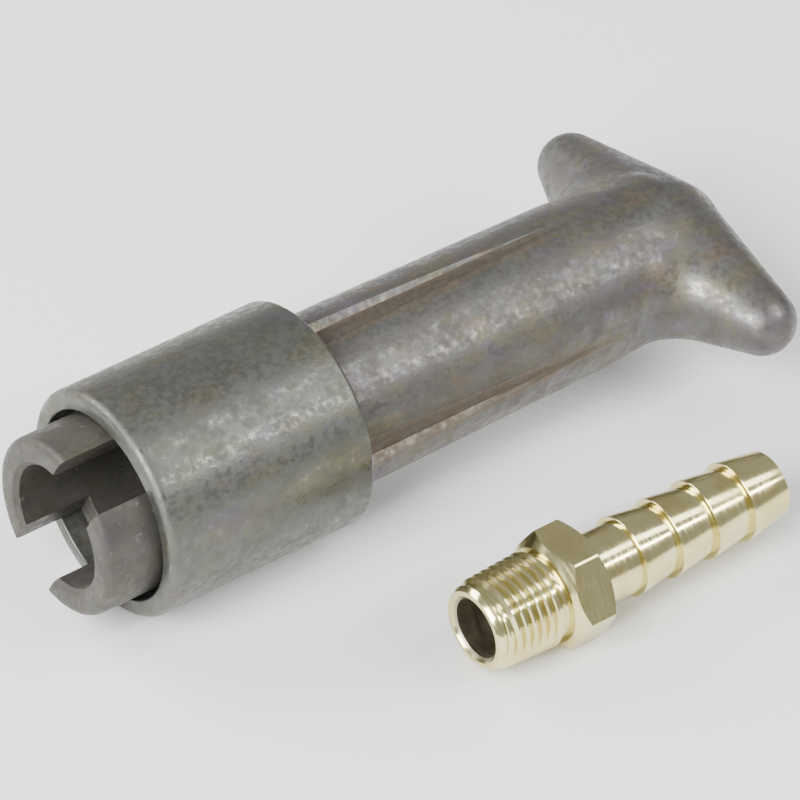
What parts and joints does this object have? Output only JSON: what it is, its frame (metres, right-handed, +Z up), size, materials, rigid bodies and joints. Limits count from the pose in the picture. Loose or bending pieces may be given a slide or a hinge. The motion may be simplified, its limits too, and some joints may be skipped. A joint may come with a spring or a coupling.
{
  "type": "fuel coupling nozzle",
  "caption": "Push-on fuel coupling nozzle with slotted nose, spring-loaded sliding collar, fluted T-handle body and a loose brass threaded hose barb.",
  "frame": {"origin": "on the nozzle axis, in the round socket wall 2 mm behind the bottom of the nose slots", "axes": "+X along the nozzle axis from the nose to the T-handle, +Y along the T-bar, +Z up"},
  "size_m": [0.0814, 0.0549, 0.024],
  "materials": {
    "plated_casting": "mottled grey-olive conversion coating over a cast surface, with faint violet and bronze patches",
    "plated_steel": "turned steel with a dull olive-grey conversion coating",
    "plated_collar": "turned steel, mottled olive-grey conversion coating, softly bright along the ridge",
    "bright_steel": "bright spring steel",
    "seal_rubber": "matte black nitrile rubber",
    "valve_brass": "plain turned brass",
    "turned_brass": "bright pale machined brass"
  },
  "bodies": {
    "nozzle": {"handle_body": "plated_casting", "nose_tube": "plated_steel", "lock_pin": "bright_steel", "joint_seal": "seal_rubber", "snap_ring": "bright_steel", "face_seal": "seal_rubber", "valve_seat": "valve_brass", "stem_guide": "valve_brass", "guide_clip": "bright_steel"},
    "slide_washer": {"thrust_washer": "bright_steel", "collar_spring": "bright_steel"},
    "sleeve": {"collar": "plated_collar", "collar_end_ring": "plated_steel"},
    "valve": {"poppet": "valve_brass", "poppet_seal": "seal_rubber", "poppet_spring": "bright_steel"},
    "fitting": {"hose_barb": "turned_brass"}
  },
  "joints": [
    {"name": "collar_slide", "type": "slide", "parent": "nozzle", "child": "slide_washer", "axis": [1, 0, 0], "range_m": [0, 0.005], "stiffness_N_per_m": 600, "springref_m": -0.004, "deforming": ["collar_spring"]},
    {"name": "collar_spin", "type": "hinge", "parent": "slide_washer", "child": "sleeve", "pos_m": [0, 0, 0], "axis": [1, 0, 0], "continuous": true},
    {"name": "poppet_lift", "type": "slide", "parent": "nozzle", "child": "valve", "axis": [1, 0, 0], "range_m": [0, 0.003], "stiffness_N_per_m": 500, "springref_m": -0.002, "deforming": ["poppet_spring"]},
    {"name": "fitting_lift", "type": "slide", "parent": "nozzle", "child": "fitting", "axis": [0, 0, 1], "range_m": [0, 0.05]}
  ]
}
